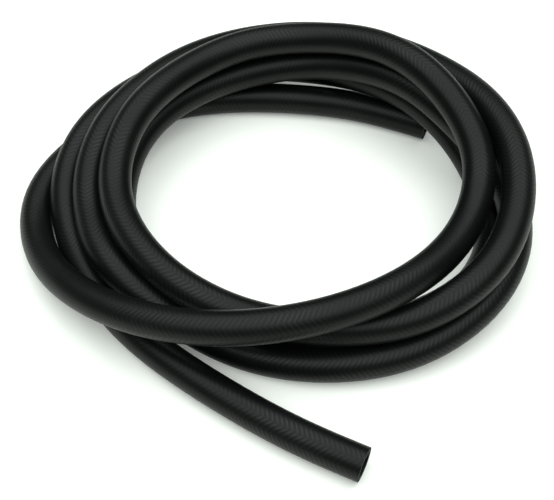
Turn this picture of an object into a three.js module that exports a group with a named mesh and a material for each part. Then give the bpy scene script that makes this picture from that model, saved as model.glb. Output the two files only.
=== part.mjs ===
// Oil cooler hose: one cut length of braided rubber hose, lying in a loose coil
// of about four and a half turns. Millimetres, +Z up, on a level floor at z = 0.
// The coil is seen from the front (-Y). The hose starts at the free end in front,
// runs clockwise seen from above and ends inside the coil at the back right.
import * as THREE from 'three';

// Driving sizes
const OUTER_DIAMETER = 20.6;
const BORE_DIAMETER = 12.7;
const LAYING_GAP = 0.3;
const COIL_HALF_WIDTH = 140.5;
const COIL_HALF_DEPTH = 114.5;
const COIL_CENTRE_Y = 35.1;
const COIL_CENTRE_X = 3.7;

// How finely the round hose is cut into flats, and where its turns are counted from
const SIDES = 12;
const STEPS = 164;
const ANGLE_STEP = 20;
const FIRST_ANGLE = 240;

// The free end runs straight out over the floor in front of the coil.
// Each pair is x and y from the coil's centre.
const TAIL = [
  [48, -193.5],
  [12, -177],
  [-27, -153.5],
];

// Each turn is a row of pairs, one for every 20 degrees, starting at the left front:
// how far outside the coil's oval the hose lies, and how high above the floor it lies.
// Both are counted in hose diameters, so 1 high means lying on top of another pass.
const TURNS = [
  // first turn: left, back, then down to the floor at the right and front
  [
    [0.92, 0], [0.27, 0], [-0.04, 0], [-0.02, 0.53], [-0.22, 1.05], [-0.32, 1.1],
    [0.06, 0.82], [0.32, 0.16], [-0.1, 0.44], [-0.58, 1], [-0.74, 1.17], [-0.46, 0.58],
    [-0.08, 0.02], [0.38, 0], [0.62, 0], [0.3, 0], [-0.14, 0], [-0.53, 0],
  ],
  // second turn: innermost at the left, over the far end at the back, outermost in front
  [
    [-1.16, 0], [-1.32, 0], [-1.62, 0], [-1.74, 0.08], [-1.72, 0.62], [-1.58, 0.96],
    [-1.28, 1], [-0.95, 1.04], [-0.85, 1.36], [-1.1, 1.92], [-1.14, 2.2], [-0.74, 1.62],
    [0.28, 1.02], [1.04, 0.8], [1.47, 0.64], [1.4, 0.08], [1.01, 0], [0.5, 0],
  ],
  // third turn: over the first one at the left, over the second one at the right
  [
    [-0.12, 0.42], [-0.2, 1], [-0.74, 0.81], [-0.9, 1.1], [-1.08, 1.67], [-1.04, 1.8],
    [-0.5, 1.68], [0.28, 1.32], [0.66, 1.3], [0.56, 1.5], [0.3, 1.79], [0.24, 2.18],
    [0.47, 2.2], [0.8, 1.93], [1.2, 1.68], [0.92, 0.94], [0.32, 0.93], [-0.12, 1],
  ],
  // fourth turn: on top at the left, the back and the right, then across the front
  [
    [-0.54, 1.41], [-1.14, 1.48], [-1.57, 1.47], [-1.82, 1.71], [-1.97, 2.21], [-1.9, 2.36],
    [-1.4, 2.2], [-0.74, 2.15], [-0.79, 2.44], [-0.99, 2.94], [-1.26, 3.22], [-1.05, 2.76],
    [-0.57, 2.05], [-0.43, 1.62], [-0.19, 1.61], [0.24, 1.95], [0.59, 1.97], [0.97, 1.9],
  ],
  // last half turn: down the outside at the left and along the floor at the back
  [
    [1.04, 1.36], [1.08, 0.8], [1.05, 0], [0.94, 0], [0.25, 0], [-0.22, 0],
    [-0.7, 0], [-1.08, 0], [-1.2, 0], [-0.97, 0],
  ],
];

// The far end, hidden under the pile at the back right; x and y from the coil's centre.
const FAR_END = [104, 63];

// The hose's centre line
function floorPoint(pair) {
  const x = COIL_CENTRE_X + pair[0];
  const y = COIL_CENTRE_Y + pair[1];
  return new THREE.Vector3(x, y, OUTER_DIAMETER / 2);
}

function coilPoint(pair, index) {
  const pitch = OUTER_DIAMETER + LAYING_GAP;
  const angle = THREE.MathUtils.degToRad(FIRST_ANGLE - ANGLE_STEP * index);
  const x = COIL_CENTRE_X + (COIL_HALF_WIDTH + pair[0] * pitch) * Math.cos(angle);
  const y = COIL_CENTRE_Y + (COIL_HALF_DEPTH + pair[0] * pitch) * Math.sin(angle);
  const z = OUTER_DIAMETER / 2 + pair[1] * pitch;
  return new THREE.Vector3(x, y, z);
}

function routePoints() {
  const points = TAIL.map(floorPoint);
  for (const turn of TURNS) {
    points.push(...turn.map(coilPoint));
  }
  points.push(floorPoint(FAR_END));
  return points;
}

// A smooth curve drawn towards the route points; it starts and ends on the outer two.
class HoseLine extends THREE.Curve {
  constructor(points) {
    super();
    const last = points.length - 1;
    const before = points[0].clone().multiplyScalar(2).sub(points[1]);
    const after = points[last].clone().multiplyScalar(2).sub(points[last - 1]);
    this.points = [before, ...points, after];
    this.arcLengthDivisions = 3000;
  }

  getPoint(t, target = new THREE.Vector3()) {
    const spans = this.points.length - 3;
    const span = Math.min(Math.floor(t * spans), spans - 1);
    const u = t * spans - span;
    const a = (1 - u) ** 3 / 6;
    const b = (3 * u ** 3 - 6 * u ** 2 + 4) / 6;
    const c = (-3 * u ** 3 + 3 * u ** 2 + 3 * u + 1) / 6;
    const d = u ** 3 / 6;
    target.set(0, 0, 0);
    target.addScaledVector(this.points[span], a);
    target.addScaledVector(this.points[span + 1], b);
    target.addScaledVector(this.points[span + 2], c);
    target.addScaledVector(this.points[span + 3], d);
    return target;
  }
}

// The hose's section: a ring, open right through
function circlePoints(diameter) {
  const points = [];
  for (let i = 0; i < SIDES; i += 1) {
    const angle = (2 * Math.PI * i) / SIDES;
    points.push(new THREE.Vector2(Math.cos(angle), Math.sin(angle)).multiplyScalar(diameter / 2));
  }
  return points;
}

function hoseSection() {
  const section = new THREE.Shape(circlePoints(OUTER_DIAMETER));
  section.holes.push(new THREE.Path(circlePoints(BORE_DIAMETER).reverse()));
  return section;
}

// The hose itself: one piece of rubber, swept along its centre line
function makeHose() {
  const line = new HoseLine(routePoints());
  const settings = { steps: STEPS, bevelEnabled: false, extrudePath: line };
  const geometry = new THREE.ExtrudeGeometry(hoseSection(), settings);
  const rubber = new THREE.MeshStandardMaterial({ color: 0x2b2f2e, roughness: 0.6 });
  rubber.name = 'rubber';
  const hose = new THREE.Mesh(geometry, rubber);
  hose.name = 'hose';
  return hose;
}

const part = new THREE.Group();
part.name = 'oil_cooler_hose';
part.add(makeHose());

export default part;
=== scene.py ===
import math
import bmesh
import bpy
from mathutils import Matrix, Vector


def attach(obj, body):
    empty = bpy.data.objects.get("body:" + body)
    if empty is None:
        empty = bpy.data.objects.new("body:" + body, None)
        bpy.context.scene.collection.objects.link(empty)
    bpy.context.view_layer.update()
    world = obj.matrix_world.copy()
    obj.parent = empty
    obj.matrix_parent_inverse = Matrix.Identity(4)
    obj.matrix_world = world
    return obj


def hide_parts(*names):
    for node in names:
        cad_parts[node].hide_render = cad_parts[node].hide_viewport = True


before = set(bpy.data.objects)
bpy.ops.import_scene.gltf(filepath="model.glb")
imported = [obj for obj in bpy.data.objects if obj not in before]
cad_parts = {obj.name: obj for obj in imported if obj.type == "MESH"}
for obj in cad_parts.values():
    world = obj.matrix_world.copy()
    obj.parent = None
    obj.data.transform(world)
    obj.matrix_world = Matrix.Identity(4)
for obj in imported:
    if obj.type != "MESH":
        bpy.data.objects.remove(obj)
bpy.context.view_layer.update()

# The hose's sizes, in metres, as in the part
OUTER_DIAMETER = 0.0206
BORE_DIAMETER = 0.0127
LAYING_GAP = 0.0003
COIL_HALF_WIDTH = 0.1405
COIL_HALF_DEPTH = 0.1145
COIL_CENTRE_X = 0.0037
COIL_CENTRE_Y = 0.0351
ANGLE_STEP = 20
FIRST_ANGLE = 240

# How finely the round hose is drawn
OUTER_SIDES = 40
BORE_SIDES = 20
STEPS_PER_SPAN = 8

# The free end in front and the far end under the coil, as x and y from the coil's centre
TAIL = [(0.048, -0.1935), (0.012, -0.177), (-0.027, -0.1535)]
FAR_END = (0.104, 0.063)

# Each turn is a row of pairs, one for every 20 degrees, starting at the left front:
# how far outside the coil's oval the hose lies, and how high above the floor it lies.
# Both are counted in hose diameters.
TURNS = [
    [
        (0.92, 0), (0.27, 0), (-0.04, 0), (-0.02, 0.53), (-0.22, 1.05), (-0.32, 1.1),
        (0.06, 0.82), (0.32, 0.16), (-0.1, 0.44), (-0.58, 1), (-0.74, 1.17), (-0.46, 0.58),
        (-0.08, 0.02), (0.38, 0), (0.62, 0), (0.3, 0), (-0.14, 0), (-0.53, 0),
    ],
    [
        (-1.16, 0), (-1.32, 0), (-1.62, 0), (-1.74, 0.08), (-1.72, 0.62), (-1.58, 0.96),
        (-1.28, 1), (-0.95, 1.04), (-0.85, 1.36), (-1.1, 1.92), (-1.14, 2.2), (-0.74, 1.62),
        (0.28, 1.02), (1.04, 0.8), (1.47, 0.64), (1.4, 0.08), (1.01, 0), (0.5, 0),
    ],
    [
        (-0.12, 0.42), (-0.2, 1), (-0.74, 0.81), (-0.9, 1.1), (-1.08, 1.67), (-1.04, 1.8),
        (-0.5, 1.68), (0.28, 1.32), (0.66, 1.3), (0.56, 1.5), (0.3, 1.79), (0.24, 2.18),
        (0.47, 2.2), (0.8, 1.93), (1.2, 1.68), (0.92, 0.94), (0.32, 0.93), (-0.12, 1),
    ],
    [
        (-0.54, 1.41), (-1.14, 1.48), (-1.57, 1.47), (-1.82, 1.71), (-1.97, 2.21), (-1.9, 2.36),
        (-1.4, 2.2), (-0.74, 2.15), (-0.79, 2.44), (-0.99, 2.94), (-1.26, 3.22), (-1.05, 2.76),
        (-0.57, 2.05), (-0.43, 1.62), (-0.19, 1.61), (0.24, 1.95), (0.59, 1.97), (0.97, 1.9),
    ],
    [
        (1.04, 1.36), (1.08, 0.8), (1.05, 0), (0.94, 0), (0.25, 0), (-0.22, 0),
        (-0.7, 0), (-1.08, 0), (-1.2, 0), (-0.97, 0),
    ],
]


# The hose's centre line
def floor_point(pair):
    return Vector((COIL_CENTRE_X + pair[0], COIL_CENTRE_Y + pair[1], OUTER_DIAMETER / 2))


def coil_point(pair, index):
    pitch = OUTER_DIAMETER + LAYING_GAP
    angle = math.radians(FIRST_ANGLE - ANGLE_STEP * index)
    x = COIL_CENTRE_X + (COIL_HALF_WIDTH + pair[0] * pitch) * math.cos(angle)
    y = COIL_CENTRE_Y + (COIL_HALF_DEPTH + pair[0] * pitch) * math.sin(angle)
    return Vector((x, y, OUTER_DIAMETER / 2 + pair[1] * pitch))


def route_points():
    points = [floor_point(pair) for pair in TAIL]
    for turn in TURNS:
        points += [coil_point(pair, index) for index, pair in enumerate(turn)]
    return points + [floor_point(FAR_END)]


def centre_line():
    """A smooth curve drawn towards the route points; it starts and ends on the outer two."""
    points = route_points()
    points.insert(0, 2 * points[0] - points[1])
    points.append(2 * points[-1] - points[-2])
    line = []
    for span in range(len(points) - 3):
        for step in range(STEPS_PER_SPAN):
            u = step / STEPS_PER_SPAN
            a = (1 - u) ** 3 / 6
            b = (3 * u ** 3 - 6 * u ** 2 + 4) / 6
            c = (-3 * u ** 3 + 3 * u ** 2 + 3 * u + 1) / 6
            d = u ** 3 / 6
            near = a * points[span] + b * points[span + 1]
            far = c * points[span + 2] + d * points[span + 3]
            line.append(near + far)
    line.append(points[-2].copy())
    return line


def section_places(line):
    """Where the hose's section stands at each point of the line, without twisting along it."""
    last = len(line) - 1
    tangents = []
    for i in range(len(line)):
        tangents.append((line[min(i + 1, last)] - line[max(i - 1, 0)]).normalized())
    side = tangents[0].cross(Vector((0, 0, 1))).normalized()
    places = []
    for i, tangent in enumerate(tangents):
        side = tangents[max(i - 1, 0)].rotation_difference(tangent) @ side
        side = (side - tangent * side.dot(tangent)).normalized()
        turned = Matrix((side, tangent.cross(side), tangent)).transposed().to_4x4()
        places.append(Matrix.Translation(line[i]) @ turned)
    return places


# The hose as a mesh: two circles drawn along the line, joined by a flat cut at each end
def near_end(mesh, around, radius):
    """The near cut, a flat ring. Each corner keeps its place around the hose and its radius."""
    rims = []
    for diameter, sides in ((OUTER_DIAMETER, OUTER_SIDES), (BORE_DIAMETER, BORE_SIDES)):
        circle = bmesh.ops.create_circle(mesh, segments=sides, radius=diameter / 2)
        for vert in circle["verts"]:
            turn = math.atan2(vert.co.y, vert.co.x) / (2 * math.pi)
            vert[around] = round(turn * sides) % sides / sides
            vert[radius] = diameter / 2
        rims += {edge for vert in circle["verts"] for edge in vert.link_edges}
    bmesh.ops.bridge_loops(mesh, edges=rims)
    return rims


def sweep(mesh, rims, along, places):
    """Draws the ring's two circles from each place on the line to the next, and closes the far cut."""
    travelled = 0.0
    for before, after in zip(places, places[1:]):
        travelled += (after.translation - before.translation).length
        drawn = bmesh.ops.extrude_edge_only(mesh, edges=rims)["geom"]
        corners = [item for item in drawn if isinstance(item, bmesh.types.BMVert)]
        edges = [item for item in drawn if isinstance(item, bmesh.types.BMEdge)]
        rims = [edge for edge in edges if edge.is_boundary]
        bmesh.ops.transform(mesh, matrix=after @ before.inverted(), verts=corners)
        for vert in corners:
            vert[along] = travelled
    bmesh.ops.bridge_loops(mesh, edges=rims)


def lay_out_wall(mesh, around, radius, along):
    """Gives every face its place around and along the hose, or around and across a cut end."""
    wall = mesh.loops.layers.uv.new("wall")
    cut = mesh.faces.layers.float.new("cut")
    for face in mesh.faces:
        is_cut = len({vert[radius] for vert in face.verts}) > 1
        face[cut] = float(is_cut)
        face.smooth = not is_cut
        at_seam = max(vert[around] for vert in face.verts) > 0.5
        for loop in face.loops:
            turn = loop.vert[around]
            if at_seam and turn == 0:
                turn = 1.0
            reach = loop.vert[radius] if is_cut else loop.vert[along]
            loop[wall].uv = (turn, reach)
    for edge in mesh.edges:
        edge.smooth = len({face[cut] for face in edge.link_faces}) == 1


def make_hose(line):
    mesh = bmesh.new()
    around = mesh.verts.layers.float.new("around")
    radius = mesh.verts.layers.float.new("radius")
    along = mesh.verts.layers.float.new("along")
    rims = near_end(mesh, around, radius)
    places = section_places(line)
    bmesh.ops.transform(mesh, matrix=places[0], verts=mesh.verts)
    sweep(mesh, rims, along, places)
    bmesh.ops.recalc_face_normals(mesh, faces=mesh.faces)
    lay_out_wall(mesh, around, radius, along)
    surface = bpy.data.meshes.new("hose_surface")
    mesh.to_mesh(surface)
    mesh.free()
    hose = bpy.data.objects.new("hose_visual", surface)
    bpy.context.scene.collection.objects.link(hose)
    return hose


# Helpers for materials
def node(tree, kind, **settings):
    made = tree.nodes.new(kind)
    for key, value in settings.items():
        setattr(made, key, value)
    return made


def math_node(tree, operation, *values):
    made = node(tree, "ShaderNodeMath", operation=operation)
    for socket, value in zip(made.inputs, values):
        if isinstance(value, bpy.types.NodeSocket):
            tree.links.new(value, socket)
        else:
            socket.default_value = value
    return made.outputs[0]


def noise(tree, place, grain):
    scale, detail = grain
    made = node(tree, "ShaderNodeTexNoise")
    made.inputs["Scale"].default_value = scale
    made.inputs["Detail"].default_value = detail
    tree.links.new(place, made.inputs["Vector"])
    return made.outputs[0]


def map_range(tree, value, old, new):
    made = node(tree, "ShaderNodeMapRange")
    made.inputs["From Min"].default_value = old[0]
    made.inputs["From Max"].default_value = old[1]
    made.inputs["To Min"].default_value = new[0]
    made.inputs["To Max"].default_value = new[1]
    tree.links.new(value, made.inputs["Value"])
    return made.outputs[0]


# The braid that prints through the outer wall, in metres and in columns around the hose
BRAID_COLUMNS = 10
STRAND_PITCH = 0.0031
STRAND_SLANT = 1.45
STRAND_SWAY = 0.0011
STRAND_ROUNDING = 0.4
BRAID_STRENGTH = (0.08, 1.0)
RELIEF_DEPTH = 0.00009
RELIEF_STRENGTH = 0.5
GRAIN_HEIGHT = 0.5
STRAND_GLOSS = 0.24
STRAND_ROUGHNESS = 0.38
PATCH_LIMITS = (0.3, 0.7)

# The rubber's colours and finish
DARK_RUBBER = (0.0018, 0.0022, 0.0021, 1)
WORN_RUBBER = (0.0034, 0.0043, 0.0039, 1)
CLOUD_LIMITS = (0.3, 0.72)
RUBBER_ROUGHNESS = (0.36, 0.48)
RUBBER_SPECULAR = 0.16
CUT_ROUGHENING = 0.5

# The braid's cut threads, a pale broken ring in the middle of the wall
THREAD_RING_RADIUS = 0.0084
THREAD_RING_HALF_WIDTH = 0.0006
THREAD_SHARE = 0.53
THREAD_COLOUR = (0.11, 0.115, 0.1, 1)

# How fine each uneven pattern is, and how many finer layers it has
SWAY_GRAIN = (110, 1)
PATCH_GRAIN = (24, 3)
SKIN_GRAIN = (900, 4)
CLOUD_GRAIN = (22, 5)
CRUMB_GRAIN = (1300, 2)


def braid_group():
    """Slanted strands in columns that lean left and right in turn, with a valley between columns."""
    tree = bpy.data.node_groups.new("braid_print", "ShaderNodeTree")
    for name in ("Around", "Along"):
        tree.interface.new_socket(name, in_out="INPUT", socket_type="NodeSocketFloat")
    for name in ("Height", "Gloss"):
        tree.interface.new_socket(name, in_out="OUTPUT", socket_type="NodeSocketFloat")
    inside = node(tree, "NodeGroupInput")
    out = node(tree, "NodeGroupOutput")
    columns = math_node(tree, "MULTIPLY", inside.outputs["Around"], BRAID_COLUMNS)
    pitches = math_node(tree, "MULTIPLY", inside.outputs["Along"], 1 / STRAND_PITCH)
    lean = math_node(tree, "MULTIPLY", math_node(tree, "PINGPONG", columns, 1.0), STRAND_SLANT)
    phase = math_node(tree, "MULTIPLY", math_node(tree, "ADD", pitches, lean), 2 * math.pi)
    strand = math_node(tree, "SINE", phase)
    across = math_node(tree, "SINE", math_node(tree, "MULTIPLY", columns, math.pi))
    crown = math_node(tree, "POWER", math_node(tree, "ABSOLUTE", across), STRAND_ROUNDING)
    height = math_node(tree, "MULTIPLY", strand, crown)
    tree.links.new(height, out.inputs["Height"])
    tree.links.new(math_node(tree, "MAXIMUM", height, 0.0), out.inputs["Gloss"])
    return tree


def braid_print(tree, wall_place, place, outside):
    """Relief and gloss of the braid: the strands wander a little, and print more in some places."""
    sway = noise(tree, place, SWAY_GRAIN)
    group = node(tree, "ShaderNodeGroup")
    group.node_tree = braid_group()
    along = math_node(tree, "MULTIPLY_ADD", sway, STRAND_SWAY, wall_place.outputs["Y"])
    tree.links.new(wall_place.outputs["X"], group.inputs["Around"])
    tree.links.new(along, group.inputs["Along"])
    strength = map_range(tree, noise(tree, place, PATCH_GRAIN), PATCH_LIMITS, BRAID_STRENGTH)
    strength = math_node(tree, "MULTIPLY", strength, outside)
    relief = math_node(tree, "MULTIPLY", group.outputs["Height"], strength)
    gloss = math_node(tree, "MULTIPLY", group.outputs["Gloss"], strength)
    return relief, math_node(tree, "MULTIPLY", gloss, STRAND_GLOSS)


def cut_threads(tree, wall_place, place, is_cut):
    """A mask of the thread ends that show on the cut faces."""
    off_ring = math_node(tree, "SUBTRACT", wall_place.outputs["Y"], THREAD_RING_RADIUS)
    off_ring = math_node(tree, "ABSOLUTE", off_ring)
    ring = math_node(tree, "LESS_THAN", off_ring, THREAD_RING_HALF_WIDTH)
    crumbs = math_node(tree, "GREATER_THAN", noise(tree, place, CRUMB_GRAIN), THREAD_SHARE)
    return math_node(tree, "MULTIPLY", math_node(tree, "MULTIPLY", ring, crumbs), is_cut)


def rubber_colour(tree, cloud, threads):
    """Near black, a little greyer and greener in cloudy patches, with the pale cut threads."""
    ramp = node(tree, "ShaderNodeValToRGB")
    dark, worn = ramp.color_ramp.elements
    dark.position, worn.position = CLOUD_LIMITS
    dark.color = DARK_RUBBER
    worn.color = WORN_RUBBER
    tree.links.new(cloud, ramp.inputs[0])
    mix = node(tree, "ShaderNodeMix", data_type="RGBA")
    tree.links.new(threads, mix.inputs[0])
    tree.links.new(ramp.outputs[0], mix.inputs[6])
    mix.inputs[7].default_value = THREAD_COLOUR
    return mix.outputs[2]


def rubber_material():
    mat = bpy.data.materials.new("rubber")
    mat.use_nodes = True
    tree = mat.node_tree
    shader = tree.nodes["Principled BSDF"]
    uv = node(tree, "ShaderNodeUVMap", uv_map="wall")
    wall_place = node(tree, "ShaderNodeSeparateXYZ")
    tree.links.new(uv.outputs["UV"], wall_place.inputs[0])
    place = node(tree, "ShaderNodeTexCoord").outputs["Object"]
    is_cut = node(tree, "ShaderNodeAttribute", attribute_name="cut").outputs["Fac"]
    outside = math_node(tree, "SUBTRACT", 1.0, is_cut)

    # Relief: the braid's print and a fine grain
    braid, gloss = braid_print(tree, wall_place, place, outside)
    relief = math_node(tree, "MULTIPLY_ADD", noise(tree, place, SKIN_GRAIN), GRAIN_HEIGHT, braid)
    bump = node(tree, "ShaderNodeBump")
    bump.inputs["Strength"].default_value = RELIEF_STRENGTH
    bump.inputs["Distance"].default_value = RELIEF_DEPTH
    tree.links.new(relief, bump.inputs["Height"])
    tree.links.new(bump.outputs[0], shader.inputs["Normal"])

    # Colour and roughness; a cut end is rougher than the skin
    cloud = noise(tree, place, CLOUD_GRAIN)
    threads = cut_threads(tree, wall_place, place, is_cut)
    tree.links.new(rubber_colour(tree, cloud, threads), shader.inputs["Base Color"])
    skin = map_range(tree, cloud, (0.0, 1.0), RUBBER_ROUGHNESS)
    roughness = math_node(tree, "MULTIPLY_ADD", is_cut, CUT_ROUGHENING, skin)
    tree.links.new(roughness, shader.inputs["Roughness"])
    shader.inputs["Specular IOR Level"].default_value = RUBBER_SPECULAR

    # The raised strands are rubbed a little glossier than the rest
    tree.links.new(gloss, shader.inputs["Coat Weight"])
    shader.inputs["Coat Roughness"].default_value = STRAND_ROUGHNESS
    return mat


# Camera, floor and light
CAMERA_ELEVATION = math.radians(53)
CAMERA_DISTANCE = 0.684
CAMERA_AIM_Y = COIL_CENTRE_Y - 0.038
CAMERA_LENS_MM = 68.9
CAMERA_SENSOR_MM = 36
FLOOR_HALF_SIDE = 6
FLOOR_COLOUR = (0.9, 0.91, 0.88, 1)
FLOOR_ROUGHNESS = 0.9
FLOOR_SPECULAR = 0.1
FLOOR_GLOW_COLOUR = (0.96, 1, 0.96, 1)
FLOOR_GLOW = 0.15
LIGHT_HEIGHT = 1.4
LIGHT_SIZE = 2.6
LIGHT_POWER = 58
LIGHT_COLOUR = (0.94, 1.0, 0.96)
ROOM_COLOUR = (1, 1, 1, 1)
ROOM_GLOW = 0.06


def make_camera():
    data = bpy.data.cameras.new("camera")
    data.lens = CAMERA_LENS_MM
    data.sensor_width = CAMERA_SENSOR_MM
    camera = bpy.data.objects.new("camera", data)
    back = CAMERA_DISTANCE * math.cos(CAMERA_ELEVATION)
    up = CAMERA_DISTANCE * math.sin(CAMERA_ELEVATION)
    camera.location = (COIL_CENTRE_X, CAMERA_AIM_Y - back, up)
    camera.rotation_euler = (math.radians(90) - CAMERA_ELEVATION, 0, 0)
    bpy.context.scene.collection.objects.link(camera)
    bpy.context.scene.camera = camera


def floor_material():
    mat = bpy.data.materials.new("floor")
    mat.use_nodes = True
    shader = mat.node_tree.nodes["Principled BSDF"]
    shader.inputs["Base Color"].default_value = FLOOR_COLOUR
    shader.inputs["Roughness"].default_value = FLOOR_ROUGHNESS
    shader.inputs["Specular IOR Level"].default_value = FLOOR_SPECULAR
    shader.inputs["Emission Color"].default_value = FLOOR_GLOW_COLOUR
    shader.inputs["Emission Strength"].default_value = FLOOR_GLOW
    return mat


def make_floor():
    plane = bmesh.new()
    bmesh.ops.create_grid(plane, x_segments=1, y_segments=1, size=FLOOR_HALF_SIDE)
    surface = bpy.data.meshes.new("floor")
    plane.to_mesh(surface)
    plane.free()
    surface.materials.append(floor_material())
    floor = bpy.data.objects.new("floor", surface)
    bpy.context.scene.collection.objects.link(floor)


def make_light():
    """One wide soft light straight overhead; it points down as it is made."""
    data = bpy.data.lights.new("overhead", "AREA")
    data.shape = "SQUARE"
    data.size = LIGHT_SIZE
    data.energy = LIGHT_POWER
    data.color = LIGHT_COLOUR
    light = bpy.data.objects.new("overhead", data)
    light.location = (0, 0, LIGHT_HEIGHT)
    bpy.context.scene.collection.objects.link(light)


def make_world():
    world = bpy.data.worlds.new("studio")
    world.use_nodes = True
    back = world.node_tree.nodes["Background"]
    back.inputs["Color"].default_value = ROOM_COLOUR
    back.inputs["Strength"].default_value = ROOM_GLOW
    bpy.context.scene.world = world
    bpy.context.scene.view_settings.view_transform = "Standard"


make_camera()
make_floor()
make_world()
make_light()

line = centre_line()
hose = make_hose(line)
hose.data.materials.append(rubber_material())
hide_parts("hose")
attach(hose, "root")
